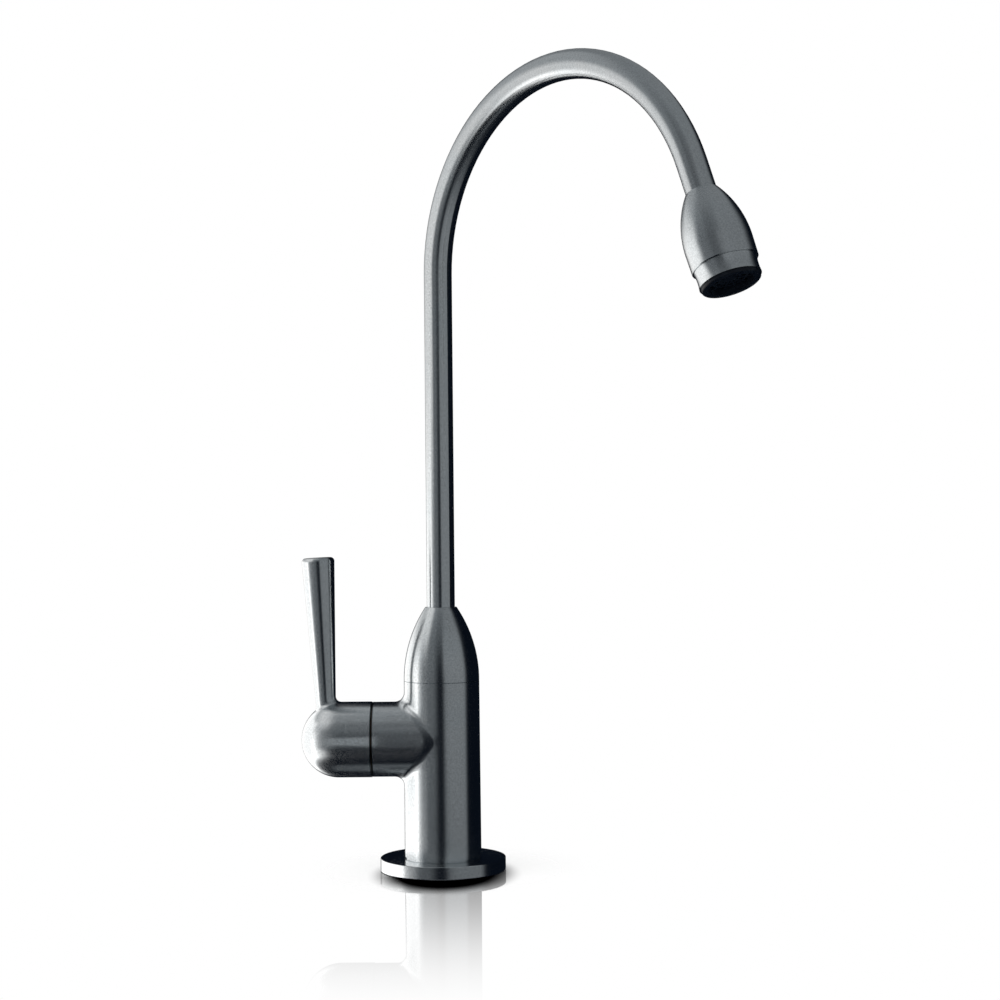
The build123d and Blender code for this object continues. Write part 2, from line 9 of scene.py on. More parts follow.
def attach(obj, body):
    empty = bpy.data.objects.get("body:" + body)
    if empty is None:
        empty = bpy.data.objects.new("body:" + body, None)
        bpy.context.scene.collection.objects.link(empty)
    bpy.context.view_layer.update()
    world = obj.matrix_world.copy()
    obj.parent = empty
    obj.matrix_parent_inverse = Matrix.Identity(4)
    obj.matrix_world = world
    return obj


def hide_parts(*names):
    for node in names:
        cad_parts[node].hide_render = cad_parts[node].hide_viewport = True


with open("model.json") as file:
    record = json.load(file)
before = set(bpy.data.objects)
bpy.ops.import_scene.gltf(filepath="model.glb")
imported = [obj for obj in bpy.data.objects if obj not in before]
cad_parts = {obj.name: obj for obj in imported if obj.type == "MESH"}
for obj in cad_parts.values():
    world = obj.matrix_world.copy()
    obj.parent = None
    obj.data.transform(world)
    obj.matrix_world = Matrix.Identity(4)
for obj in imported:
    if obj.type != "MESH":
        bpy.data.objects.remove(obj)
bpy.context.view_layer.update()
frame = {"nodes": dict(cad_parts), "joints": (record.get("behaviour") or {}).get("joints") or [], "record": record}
nodes = frame["nodes"]
print("frame loaded:", len(nodes), "nodes")

# Places that several finishes share, in metres: the lever's joint is read from the frame, and the spout's
# and the lever's own sizes are those of the model
leverTurn = frame["joints"][1]["pos_m"]  # the lever's joint, on the barrel's axis at the hub's mouth
barrelAxisHeight = leverTurn[2]
archPlane = {
    "turn": math.radians(-47.8),  # the spout's heading, from +X
    "radius": 0.072,  # of the arch's middle line
    "rise": 0.2375,  # the arch starts at this height
    "sweep": math.radians(157.6),
    "tail": 0.0119,  # straight run from the arch to the nozzle
}
heading = Vector((math.cos(archPlane["turn"]), math.sin(archPlane["turn"]), 0))
archCentre = heading * archPlane["radius"] + Vector((0, 0, archPlane["rise"]))
nozzleAxis = heading * math.sin(archPlane["sweep"]) + Vector((0, 0, math.cos(archPlane["sweep"])))
archSpoke = -heading * math.cos(archPlane["sweep"]) + Vector((0, 0, math.sin(archPlane["sweep"])))
nozzleNeck = archCentre + archSpoke * archPlane["radius"] + nozzleAxis * archPlane["tail"]
leverLean = math.radians(2.65)  # from upright, away from the column
leverAxis = Vector((-math.sin(leverLean), 0, math.cos(leverLean)))
leverFoot = Vector((-0.04565, 0, barrelAxisHeight))  # where the lever's axis meets the barrel's


def newTree(name):
    material = bpy.data.materials.new(name)
    material.use_nodes = True
    material.node_tree.nodes.clear()
    return material, material.node_tree


# A node with its settings, and its inputs by name (an underline for a blank) or by number
def addNode(tree, kind, settings=None, **inputs):
    node = tree.nodes.new(kind)
    for key, value in (settings or {}).items():
        setattr(node, key, value)
    for key, value in inputs.items():
        plug(tree, node, key.replace("_", " "), value)
    return node


# An input takes either another node's output or a plain value
def plug(tree, node, key, value):
    socket = node.inputs[int(key)] if key.isdigit() else node.inputs[key]
    if isinstance(value, bpy.types.NodeSocket):
        tree.links.new(value, socket)
    else:
        socket.default_value = value


def maths(tree, operation, first, second=0.0, third=0.0):
    node = tree.nodes.new("ShaderNodeMath")
    node.operation = operation
    for key, value in zip("012", (first, second, third)):
        plug(tree, node, key, value)
    return node.outputs[0]


def vectorMaths(tree, operation, first, second=(0, 0, 0)):
    node = tree.nodes.new("ShaderNodeVectorMath")
    node.operation = operation
    plug(tree, node, "0", first)
    plug(tree, node, "1", second)
    return node.outputs["Value" if operation in ("DOT_PRODUCT", "LENGTH") else "Vector"]


# From start, where the value is low, smoothly to end, where it is high
def ramp(tree, value, low, high, start=0.0, end=1.0):
    node = addNode(tree, "ShaderNodeMapRange", {"interpolation_type": "SMOOTHSTEP"})
    for key, number in zip("01234", (value, low, high, start, end)):
        plug(tree, node, key, number)
    return node.outputs[0]


satinNoise = {
    "drift": 130.0,  # how fast a line changes on its way round
    "cloud": 55.0,  # scale of the patches that have the second colour
    "cloudFrom": (0.45, 0.68),  # noise at which a patch starts, and where it is full
}


# Turned satin metal: lines run round the piece, and Along counts metres down its axis
def makeSatinGroup(spec):
    group = bpy.data.node_groups.new("satinLines", "ShaderNodeTree")
    face = group.interface
    face.new_socket("Position", in_out="INPUT", socket_type="NodeSocketVector")
    for name, value in (
        ("Along", 0.0),
        ("Line Scale", 4000.0),
        ("Grain Scale", 2600.0),
        ("Roughness", 0.3),
        ("Roughness Spread", 0.05),
        ("Tone Spread", 0.05),
        ("Grain", 0.4),
    ):
        socket = face.new_socket(name, in_out="INPUT", socket_type="NodeSocketFloat")
        socket.default_value = value
    for name in ("Tone", "Roughness", "Height", "Cloud"):
        face.new_socket(name, in_out="OUTPUT", socket_type="NodeSocketFloat")
    given = group.nodes.new("NodeGroupInput").outputs
    result = group.nodes.new("NodeGroupOutput")
    drift = vectorMaths(group, "SCALE", given["Position"])
    drift.node.inputs["Scale"].default_value = spec["drift"]
    lines = addNode(
        group,
        "ShaderNodeTexNoise",
        {"noise_dimensions": "4D"},
        Vector=drift,
        W=maths(group, "MULTIPLY", given["Along"], given["Line Scale"]),
        Scale=1.0,
        Detail=2.0,
        Roughness=0.6,
    ).outputs["Fac"]
    grain = addNode(
        group,
        "ShaderNodeTexNoise",
        Vector=given["Position"],
        Scale=given["Grain Scale"],
        Detail=1.0,
    ).outputs["Fac"]
    cloud = addNode(
        group, "ShaderNodeTexNoise", Vector=given["Position"], Scale=spec["cloud"], Detail=2.0
    ).outputs["Fac"]
    mixed = maths(group, "MULTIPLY_ADD", maths(group, "SUBTRACT", grain, lines), given["Grain"], lines)
    centred = maths(group, "SUBTRACT", mixed, 0.5)
    clouded = maths(group, "ADD", centred, maths(group, "SUBTRACT", cloud, 0.5))
    tone = maths(group, "MULTIPLY_ADD", centred, given["Tone Spread"], 1.0)
    rough = maths(group, "MULTIPLY_ADD", clouded, given["Roughness Spread"], given["Roughness"])
    plug(group, result, "Tone", tone)
    plug(group, result, "Roughness", rough)
    plug(group, result, "Height", lines)
    plug(group, result, "Cloud", ramp(group, cloud, *spec["cloudFrom"]))
    return group


satinGroup = makeSatinGroup(satinNoise)

mouldedNoise = {
    "speckle": 0.3,  # height of the speckle against that of the pebbles
    "bloomFrom": (0.46, 0.7),  # noise at which bloom starts, and where it is full
}


# Moulded or sintered surface: a fine pebbled grain, a slow change of tone, and a mask for bloom or wear
def makeMouldedGroup(spec):
    group = bpy.data.node_groups.new("mouldedGrain", "ShaderNodeTree")
    face = group.interface
    face.new_socket("Position", in_out="INPUT", socket_type="NodeSocketVector")
    for name, value in (
        ("Pebble Scale", 2400.0),
        ("Bloom Scale", 260.0),
        ("Roughness", 0.4),
        ("Roughness Spread", 0.1),
        ("Tone Spread", 0.2),
    ):
        socket = face.new_socket(name, in_out="INPUT", socket_type="NodeSocketFloat")
        socket.default_value = value
    for name in ("Tone", "Roughness", "Height", "Bloom"):
        face.new_socket(name, in_out="OUTPUT", socket_type="NodeSocketFloat")
    given = group.nodes.new("NodeGroupInput").outputs
    result = group.nodes.new("NodeGroupOutput")
    place = given["Position"]
    pebbles = addNode(
        group, "ShaderNodeTexVoronoi", {"feature": "SMOOTH_F1"}, Vector=place, Scale=given["Pebble Scale"]
    ).outputs["Distance"]
    speckle = addNode(
        group, "ShaderNodeTexNoise", Vector=place, Scale=given["Pebble Scale"], Detail=2.0
    ).outputs["Fac"]
    bloom = addNode(
        group, "ShaderNodeTexNoise", Vector=place, Scale=given["Bloom Scale"], Detail=4.0, Roughness=0.6
    ).outputs["Fac"]
    both = maths(group, "SUBTRACT", maths(group, "ADD", speckle, bloom), 1.0)
    rough = maths(group, "MULTIPLY_ADD", both, given["Roughness Spread"], given["Roughness"])
    plug(group, result, "Tone", maths(group, "MULTIPLY_ADD", both, given["Tone Spread"], 1.0))
    plug(group, result, "Roughness", rough)
    plug(group, result, "Height", maths(group, "MULTIPLY_ADD", speckle, spec["speckle"], pebbles))
    plug(group, result, "Bloom", ramp(group, bloom, *spec["bloomFrom"]))
    return group


mouldedGroup = makeMouldedGroup(mouldedNoise)


# The way across the lines of a turned piece, at each point: square to the normal and to the circle round
# its axis, which is the cross product of the axis and the arm from the axis to the point
def acrossLines(tree, place, normal, axis, point):
    arm = vectorMaths(tree, "SUBTRACT", place, point)
    circle = vectorMaths(tree, "CROSS_PRODUCT", tuple(axis), arm)
    return vectorMaths(tree, "CROSS_PRODUCT", normal, vectorMaths(tree, "NORMALIZE", circle))


# Along the bent tube: the way and the length of its middle line, from the riser through the arch. In the arch
# the length is its angle times its radius, and below it the height
def archLines(tree, place):
    arm = vectorMaths(tree, "SUBTRACT", place, tuple(archCentre))
    outwards = vectorMaths(tree, "DOT_PRODUCT", arm, tuple(-heading))
    parts = addNode(tree, "ShaderNodeSeparateXYZ", Vector=arm)
    height = maths(tree, "MAXIMUM", parts.outputs["Z"], 0.0)
    below = maths(tree, "MINIMUM", parts.outputs["Z"], 0.0)
    angle = maths(tree, "ARCTAN2", height, outwards)
    run = maths(tree, "MULTIPLY_ADD", angle, archPlane["radius"], below)
    level = vectorMaths(tree, "SCALE", tuple(-heading))
    plug(tree, level.node, "Scale", outwards)
    upright = addNode(tree, "ShaderNodeCombineXYZ", Z=height)
    spoke = vectorMaths(tree, "ADD", level, upright.outputs[0])
    planeNormal = heading.cross(Vector((0, 0, 1)))
    way = vectorMaths(tree, "CROSS_PRODUCT", tuple(planeNormal), vectorMaths(tree, "NORMALIZE", spoke))
    return way, run


# The look's colour, with its second colour where the mask is, times the tone
def tintedColour(tree, look, mask, tone):
    share = maths(tree, "MULTIPLY", mask, look["second share"])
    mixed = addNode(
        tree,
        "ShaderNodeMix",
        {"data_type": "RGBA"},
        **{"0": share, "6": (*look["colour"], 1), "7": (*look["second"], 1)},
    )
    toned = addNode(tree, "ShaderNodeMix", {"data_type": "RGBA", "blend_type": "MULTIPLY"}, **{"0": 1.0})
    tree.links.new(mixed.outputs[2], toned.inputs[6])
    tree.links.new(tone, toned.inputs[7])
    return toned.outputs[2]


# Metal turned round one axis, or round two with a mask between them; None stands for the bent tube's line.
# It can be rubbed smoother where it faces one way, and darker beside a seam, which is painted shade standing in
# for the shade in the gap
def brushedMetal(name, look, turns, mask=None, polish=None, seam=None):
    material, tree = newTree(name)
    coordinates = addNode(tree, "ShaderNodeTexCoord").outputs
    place, normal = coordinates["Object"], coordinates["Normal"]
    ways, runs = [], []
    for axis, point in turns:
        if axis is None:
            way, run = archLines(tree, place)
        else:
            way = acrossLines(tree, place, normal, axis, tuple(point))
            run = vectorMaths(tree, "DOT_PRODUCT", place, tuple(axis))
        ways.append(way)
        runs.append(run)
    if mask is not None:
        share = mask(tree, place)
        sockets = {"0": share, "4": ways[0], "5": ways[1]}
        way = addNode(tree, "ShaderNodeMix", {"data_type": "VECTOR"}, **sockets).outputs[1]
        run = maths(tree, "MULTIPLY_ADD", share, maths(tree, "SUBTRACT", runs[1], runs[0]), runs[0])
    tangent = addNode(
        tree,
        "ShaderNodeVectorTransform",
        {"vector_type": "VECTOR", "convert_from": "OBJECT", "convert_to": "WORLD"},
        Vector=way,
    )
    satin = addNode(tree, "ShaderNodeGroup", {"node_tree": satinGroup}, Position=place, Along=run)
    for key in ("Line Scale", "Grain Scale", "Roughness", "Roughness Spread", "Tone Spread", "Grain"):
        satin.inputs[key].default_value = look[key]
    tone = satin.outputs["Tone"]
    # Painted shade: the colour is darkened beside the seam, in place of the shade that falls in the gap
    if seam is not None:
        off = maths(tree, "SUBTRACT", vectorMaths(tree, "DOT_PRODUCT", place, seam["axis"]), seam["at"])
        paintedSeamShade = ramp(tree, maths(tree, "ABSOLUTE", off), *seam["reach"], seam["share"], 1.0)
        tone = maths(tree, "MULTIPLY", tone, paintedSeamShade)
    colour = tintedColour(tree, look, satin.outputs["Cloud"], tone)
    bump = addNode(
        tree, "ShaderNodeBump", Strength=look["bump"], Distance=look["depth"], Height=satin.outputs["Height"]
    )
    shader = addNode(
        tree,
        "ShaderNodeBsdfPrincipled",
        Base_Color=colour,
        Metallic=1.0,
        Roughness=satin.outputs["Roughness"],
        Anisotropic=look["anisotropy"],
        Normal=bump.outputs["Normal"],
        Tangent=tangent.outputs["Vector"],
    )
    if polish is not None:
        facing = vectorMaths(tree, "DOT_PRODUCT", normal, polish["facing"])
        finer = ramp(tree, facing, *polish["from"], 1.0, polish["share"])
        rough = maths(tree, "MULTIPLY", satin.outputs["Roughness"], finer)
        tree.links.new(rough, shader.inputs["Roughness"])
    output = addNode(tree, "ShaderNodeOutputMaterial")
    tree.links.new(shader.outputs[0], output.inputs["Surface"])
    return material


# The finish of all metal that shows; the other metals change some of its values
satinNickel = {
    "colour": (0.597, 0.631, 0.65),
    "second": (0.578, 0.622, 0.645),
    "second share": 0.8,
    "Roughness": 0.26,
    "Roughness Spread": 0.012,
    "Tone Spread": 0.65,
    "Grain": 0.8,
    "Line Scale": 4200.0,
    "Grain Scale": 1700.0,
    "anisotropy": 0.87,
    "bump": 0.1,
    "depth": 0.00001,
}
upAxis = Vector((0, 0, 1))
sideAxis = Vector((1, 0, 0))
middle = Vector((0, 0, 0))
barrelMiddle = Vector((0, 0, barrelAxisHeight))

# Distance from the column's axis, and from the barrel's, over which one way of the lines turns to the other
maskReach = {"barrel": (0.0156, 0.0174), "lever": (0.0151, 0.0168)}


def barrelMask(tree, place):
    flat = vectorMaths(tree, "MULTIPLY", place, (1, 1, 0))
    return ramp(tree, vectorMaths(tree, "LENGTH", flat), *maskReach["barrel"])


def leverMask(tree, place):
    arm = vectorMaths(tree, "MULTIPLY", vectorMaths(tree, "SUBTRACT", place, tuple(leverFoot)), (0, 1, 1))
    return ramp(tree, vectorMaths(tree, "LENGTH", arm), *maskReach["lever"])


# Painted shade beside the seam between the barrel and the hub: the metal keeps only a share of its colour, in
# place of the shade in the open gap
barrelSeamShade = {
    "axis": (1, 0, 0),
    "at": leverTurn[0] + 0.00015,  # middle of the open seam
    "reach": (0.00035, 0.0008),  # from the seam's middle: where the full painted shade ends, and where all colour is back
    "share": 0.12,
}

# Where a piece is rubbed smoother: the way it faces, how squarely, and the share of roughness left
flangePolish = {"facing": (0, 0, 1), "from": (0.8, 0.98), "share": 0.6}
hubPolish = {"facing": (-1, 0, 0), "from": (0.35, 0.75), "share": 0.55}

columnNickel = brushedMetal("satinNickelColumn", satinNickel, [(upAxis, middle)])
bodyNickel = brushedMetal(
    "satinNickelBody", satinNickel, [(upAxis, middle), (sideAxis, barrelMiddle)], barrelMask, seam=barrelSeamShade
)
handleNickel = brushedMetal(
    "satinNickelHandle",
    satinNickel,
    [(sideAxis, barrelMiddle), (leverAxis, leverFoot)],
    leverMask,
    hubPolish,
    barrelSeamShade,
)
flangeNickel = brushedMetal("satinNickelFlange", satinNickel, [(upAxis, middle)], polish=flangePolish)
nozzleNickel = brushedMetal("satinNickelNozzle", satinNickel, [(nozzleAxis, nozzleNeck)])
spoutNickel = brushedMetal("satinNickelSpout", satinNickel, [(None, None)])


def metalLook(**changes):
    return {**satinNickel, **changes}


brassLook = metalLook(
    colour=(0.74, 0.56, 0.29),
    second=(0.56, 0.39, 0.19),
    Roughness=0.3,
    anisotropy=0.6,
    **{"second share": 0.7, "Roughness Spread": 0.08, "Tone Spread": 0.35},
)
zincLook = metalLook(
    colour=(0.62, 0.65, 0.68),
    second=(0.55, 0.55, 0.52),
    Roughness=0.34,
    anisotropy=0.4,
    **{"second share": 0.75, "Roughness Spread": 0.14, "Tone Spread": 0.4},
)
springLook = metalLook(
    colour=(0.4, 0.405, 0.415),
    second=(0.29, 0.285, 0.29),
    Roughness=0.33,
    anisotropy=0.5,
    **{"second share": 0.6, "Roughness Spread": 0.1, "Tone Spread": 0.3},
)
meshLook = metalLook(
    colour=(0.57, 0.575, 0.57),
    second=(0.46, 0.47, 0.47),
    Roughness=0.28,
    anisotropy=0.3,
    **{"second share": 0.5, "Roughness Spread": 0.06, "Tone Spread": 0.3},
)
brass = brushedMetal("brass", brassLook, [(upAxis, middle)])
brassBarrel = brushedMetal("brassBarrel", brassLook, [(sideAxis, barrelMiddle)])
zincSteel = brushedMetal("zincSteel", zincLook, [(upAxis, middle)])
springSteel = brushedMetal("springSteel", springLook, [(upAxis, middle)])
springBarrel = brushedMetal("springSteelBarrel", springLook, [(sideAxis, barrelMiddle)])
steelMesh = brushedMetal("steelMesh", meshLook, [(nozzleAxis, nozzleNeck)])

mouldedLooks = {
    "blackPlastic": {
        "colour": (0.0022, 0.0036, 0.0066),
        "second": (0.0045, 0.0072, 0.011),
        "second share": 0.8,
        "specular": 0.16,
        "Pebble Scale": 2600.0,
        "Bloom Scale": 320.0,
        "Roughness": 0.4,
        "Roughness Spread": 0.16,
        "Tone Spread": 0.5,
        "bump": 0.3,
        "depth": 0.00003,
    },
    "blackRubber": {
        "colour": (0.017, 0.017, 0.018),
        "second": (0.045, 0.045, 0.047),
        "second share": 0.7,
        "Pebble Scale": 3200.0,
        "Bloom Scale": 180.0,
        "Roughness": 0.62,
        "Roughness Spread": 0.2,
        "Tone Spread": 0.4,
        "bump": 0.35,
        "depth": 0.00004,
    },
    "whiteAcetal": {
        "colour": (0.83, 0.82, 0.78),
        "second": (0.76, 0.74, 0.68),
        "second share": 0.6,
        "Pebble Scale": 1900.0,
        "Bloom Scale": 150.0,
        "Roughness": 0.36,
        "Roughness Spread": 0.12,
        "Tone Spread": 0.06,
        "bump": 0.15,
        "depth": 0.00002,
    },
    "ceramic": {
        "colour": (0.86, 0.85, 0.8),
        "second": (0.72, 0.71, 0.67),
        "second share": 0.5,
        "Pebble Scale": 6000.0,
        "Bloom Scale": 900.0,
        "Roughness": 0.16,
        "Roughness Spread": 0.08,
        "Tone Spread": 0.08,
        "bump": 0.08,
        "depth": 0.00001,
    },
}


def mouldedMaterial(name, look):
    material, tree = newTree(name)
    place = addNode(tree, "ShaderNodeTexCoord").outputs["Object"]
    grain = addNode(tree, "ShaderNodeGroup", {"node_tree": mouldedGroup}, Position=place)
    for key in ("Pebble Scale", "Bloom Scale", "Roughness", "Roughness Spread", "Tone Spread"):
        grain.inputs[key].default_value = look[key]
    bump = addNode(
        tree, "ShaderNodeBump", Strength=look["bump"], Distance=look["depth"], Height=grain.outputs["Height"]
    )
    shader = addNode(
        tree,
        "ShaderNodeBsdfPrincipled",
        Base_Color=tintedColour(tree, look, grain.outputs["Bloom"], grain.outputs["Tone"]),
        Roughness=grain.outputs["Roughness"],
        Specular_IOR_Level=look.get("specular", 0.5),
        Normal=bump.outputs["Normal"],
    )
    output = addNode(tree, "ShaderNodeOutputMaterial")
    tree.links.new(shader.outputs[0], output.inputs["Surface"])
    return material


moulded = {name: mouldedMaterial(name, look) for name, look in mouldedLooks.items()}

slotMaterials = {
    "satin_nickel": columnNickel,
    "brass": brass,
    "zinc_steel": zincSteel,
    "spring_steel": springSteel,
    "steel_mesh": steelMesh,
    "black_rubber": moulded["blackRubber"],
    "white_acetal": moulded["whiteAcetal"],
    "ceramic": moulded["ceramic"],
    "black_plastic": moulded["blackPlastic"],
}
ownMaterials = {
    "base_flange": flangeNickel,
    "valve_body": bodyNickel,
    "lever_handle": handleNickel,
    "spout_tube": spoutNickel,
    "nozzle_bell": nozzleNickel,
    "aerator_ring": nozzleNickel,
    "cartridge_stem": brassBarrel,
    "cartridge_housing": brassBarrel,
    "stem_clip": springBarrel,
}


def dress(node, material):
    mesh = nodes[node].data
    mesh.materials.clear()
    mesh.materials.append(material)


for part in frame["record"]["subparts"]:
    dress(part["node"], ownMaterials.get(part["node"], slotMaterials[part["material_slot"]]))
print("finishes on")


# A mesh from a grid of points: rows x columns x 3, each flag says that the grid closes on itself that way
def gridMesh(name, points, closeRows=False, closeColumns=False):
    rows, columns = points.shape[:2]
    index = np.arange(rows * columns).reshape(rows, columns)
    down = np.roll(index, -1, 0) if closeRows else index[1:]
    here = index if closeRows else index[:-1]
    if closeColumns:
        right, downRight = np.roll(here, -1, 1), np.roll(down, -1, 1)
    else:
        here, right, down, downRight = here[:, :-1], here[:, 1:], down[:, :-1], down[:, 1:]
    faces = np.stack([here, right, downRight, down], -1).reshape(-1, 4)
    return addPiece(name, points.reshape(-1, 3), faces.tolist())


def addPiece(name, points, faces):
    mesh = bpy.data.meshes.new(name)
    mesh.from_pydata(points.tolist(), [], faces)
    mesh.shade_smooth()
    piece = bpy.data.objects.new(name, mesh)
    bpy.context.scene.collection.objects.link(piece)
    return piece


shankSpec = {
    "bottom": -0.054,
    "top": 0.0162,
    "crest": 0.005555,
    "pitch": 0.0254 / 24,
    "depth": 0.00058,
    "flat": 0.125,  # share of the pitch that is flat, at the crest and at the root
    "chamfer": 0.0007,
    "rowsPerTurn": 12,
    "columns": 48,
    "bore": 0.003,
    "tubeSocket": (-0.048, 0.00325),  # floor and radius
    "mouth": ((-0.054, 0.00455), (-0.0527, 0.00395), (-0.05205, 0.00365)),  # seat of the sleeve's cone
    "sharpFrom": 38.0,  # degrees between two faces from which their edge stays sharp
    "material": zincSteel,
}


# Radius of a right-hand thread: the crest less the depth times a flat-topped wave of (z / pitch - turn), and
# never over a cone at each end. The grid goes up outside, over the top and down through the bore
def addShank(spec):
    count = int((spec["top"] - spec["bottom"]) / spec["pitch"] * spec["rowsPerTurn"])
    z = np.linspace(spec["bottom"], spec["top"], count)
    turns = np.linspace(0, 1, spec["columns"], endpoint=False)
    phase = (z[:, None] / spec["pitch"] - turns) % 1
    wave = np.clip((np.abs(2 * phase - 1) - spec["flat"]) / (1 - 2 * spec["flat"]), 0, 1)
    radius = spec["crest"] - spec["depth"] * wave
    ends = np.minimum(z - spec["bottom"], spec["top"] - z)[:, None]
    radius = np.minimum(radius, spec["crest"] - spec["chamfer"] + ends)
    inside = [(spec["top"], spec["bore"]), (spec["tubeSocket"][0], spec["bore"]), spec["tubeSocket"]]
    inside += [(spec["mouth"][-1][0], spec["tubeSocket"][1])] + list(reversed(spec["mouth"]))
    inside = np.array(inside)
    z = np.concatenate([z, inside[:, 0]])
    radius = np.vstack([radius, np.repeat(inside[:, 1:], spec["columns"], 1)])
    angle = 2 * np.pi * turns
    heights = np.broadcast_to(z[:, None], radius.shape)
    points = np.stack([radius * np.cos(angle), radius * np.sin(angle), heights], -1)
    shank = gridMesh("shankThread", points, closeRows=True, closeColumns=True)
    shank.data.set_sharp_from_angle(angle=math.radians(spec["sharpFrom"]))
    shank.data.materials.append(spec["material"])
    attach(shank, "faucet_body")
    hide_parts("threaded_shank")


addShank(shankSpec)

screenSpec = {
    "wire": 0.0001,  # radius
    "pitch": 0.00062,
    "reach": 0.00785,
    "rim": 0.00022,  # radius of the rim's section
    "clear": 0.4,  # share of the pitch that the outer wires keep from the rim
    "sides": 6,
    "steps": 100,
    "rimSides": (96, 10),  # round the rim, and round its section
    "material": steelMesh,
}


# Round wires along given paths of wires x steps x 3 points: path + radius (cos(angle) aside + sin(angle) up),
# where aside and up are square to the path, with both ends closed
def wireMesh(name, paths, radius, sides, flat):
    along = np.gradient(paths, axis=1)
    along /= np.linalg.norm(along, axis=-1, keepdims=True)
    aside = np.cross(along, np.array(flat))
    aside /= np.linalg.norm(aside, axis=-1, keepdims=True)
    up = np.cross(aside, along)
    angle = np.linspace(0, 2 * np.pi, sides, endpoint=False)[:, None]
    section = np.cos(angle) * aside[:, :, None] + np.sin(angle) * up[:, :, None]
    points = paths[:, :, None] + radius * section
    index = np.arange(points[..., 0].size).reshape(points.shape[:3])
    here, ahead = index[:, :-1], index[:, 1:]
    walls = np.stack([here, ahead, np.roll(ahead, -1, 2), np.roll(here, -1, 2)], -1).reshape(-1, 4)
    starts, finishes = index[:, 0], index[:, -1, ::-1]
    faces = walls.tolist() + starts.tolist() + finishes.tolist()
    return addPiece(name, points.reshape(-1, 3), faces)


# Woven wire: each wire waves by its own radius over and under the crossing ones, with a height of
# wire cos(pi (u + v) / pitch). The rim is a circle of the rim's radius, carried round a circle of the reach
def addScreen(spec):
    corners = np.empty(len(nodes["aerator_screen"].data.vertices) * 3)
    nodes["aerator_screen"].data.vertices.foreach_get("co", corners)
    corners = corners.reshape(-1, 3)
    centre = (corners.min(0) + corners.max(0)) / 2
    axis = np.array(nozzleAxis)
    first = np.cross(axis, (0, 0, 1))
    first /= np.linalg.norm(first)
    second = np.cross(axis, first)
    half = int(spec["reach"] / spec["pitch"] - spec["clear"])
    lane = np.arange(-half, half + 1) * spec["pitch"]
    length = np.sqrt(spec["reach"] ** 2 - lane**2)
    u = np.linspace(-1, 1, spec["steps"]) * length[:, None]
    v = np.broadcast_to(lane[:, None], u.shape)
    height = spec["wire"] * np.cos(np.pi * (u + v) / spec["pitch"])
    warp = centre + u[..., None] * first + v[..., None] * second + height[..., None] * axis
    weft = centre + v[..., None] * first + u[..., None] * second - height[..., None] * axis
    wires = wireMesh("screenWires", np.concatenate([warp, weft]), spec["wire"], spec["sides"], axis)
    turn, section = [np.linspace(0, 2 * np.pi, sides, endpoint=False) for sides in spec["rimSides"]]
    turn, section = np.meshgrid(turn, section, indexing="ij")
    turn, section = turn[..., None], section[..., None]
    out = np.cos(turn) * first + np.sin(turn) * second
    wide = spec["reach"] + spec["rim"] * np.cos(section)
    rim = centre + wide * out - spec["rim"] * np.sin(section) * axis
    hoop = gridMesh("screenRim", rim, closeRows=True, closeColumns=True)
    for piece in (wires, hoop):
        piece.data.materials.append(spec["material"])
        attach(piece, "spout")
    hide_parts("aerator_screen")


addScreen(screenSpec)
print("thread and screen made")

# The camera stands where the photograph's did
cameraSpec = {
    "place": (0.031107, -0.835655, 0.147930),
    "yaw": 0.0085,
    "pitch": -0.0006,
    "roll": -0.0093,
    "focalPixels": 2092.19,  # focal length in pixels of the image
    "imagePixels": 1000,
    "sensor": 36.0,  # millimetres
    "clipStart": 0.05,
}


def addCamera(spec):
    yaw, pitch, roll = spec["yaw"], spec["pitch"], spec["roll"]
    forward = Vector((-math.sin(yaw) * math.cos(pitch), math.cos(yaw) * math.cos(pitch), math.sin(pitch)))
    level = Vector((math.cos(yaw), math.sin(yaw), 0))
    upright = level.cross(forward)
    right = level * math.cos(roll) + upright * math.sin(roll)
    up = upright * math.cos(roll) - level * math.sin(roll)
    lens = bpy.data.cameras.new("camera")
    lens.sensor_width = spec["sensor"]
    lens.lens = spec["focalPixels"] * spec["sensor"] / spec["imagePixels"]
    lens.clip_start = spec["clipStart"]
    camera = bpy.data.objects.new("camera", lens)
    turn = Matrix((right, up, -forward)).transposed().to_4x4()
    camera.matrix_world = Matrix.Translation(spec["place"]) @ turn
    bpy.context.scene.collection.objects.link(camera)
    bpy.context.scene.camera = camera


addCamera(cameraSpec)

worldSpec = {"level": 0.92}


# The world is white to the eye, to gloss and through glass, and lights rough surfaces at a plain level
def addWorld(spec):
    world = bpy.data.worlds.new("studioWorld")
    world.use_nodes = True
    tree = world.node_tree
    tree.nodes.clear()
    path = addNode(tree, "ShaderNodeLightPath").outputs
    seen = maths(tree, "MAXIMUM", path["Is Camera Ray"], path["Is Glossy Ray"])
    seen = maths(tree, "MAXIMUM", seen, path["Is Transmission Ray"])
    strength = ramp(tree, seen, 0.0, 1.0, spec["level"], 1.0)
    background = addNode(tree, "ShaderNodeBackground", Color=(1, 1, 1, 1), Strength=strength)
    output = addNode(tree, "ShaderNodeOutputWorld")
    tree.links.new(background.outputs[0], output.inputs["Surface"])
    bpy.context.scene.world = world


addWorld(worldSpec)

lampAim = Vector((0, 0, 0.1))
lampSpecs = {
    "keyLamp": {"place": (-0.75, -0.35, 0.75), "size": 0.9, "power": 4.0},
    "fillLamp": {"place": (0.7, -0.7, 0.6), "size": 0.9, "power": 1.5},
}


def addLamp(name, spec):
    light = bpy.data.lights.new(name, "AREA")
    light.shape = "SQUARE"
    light.size = spec["size"]
    light.energy = spec["power"]
    lamp = bpy.data.objects.new(name, light)
    lamp.location = spec["place"]
    lamp.rotation_euler = (lampAim - lamp.location).to_track_quat("-Z", "Y").to_euler()
    lamp.visible_camera = False
    lamp.visible_glossy = False
    bpy.context.scene.collection.objects.link(lamp)


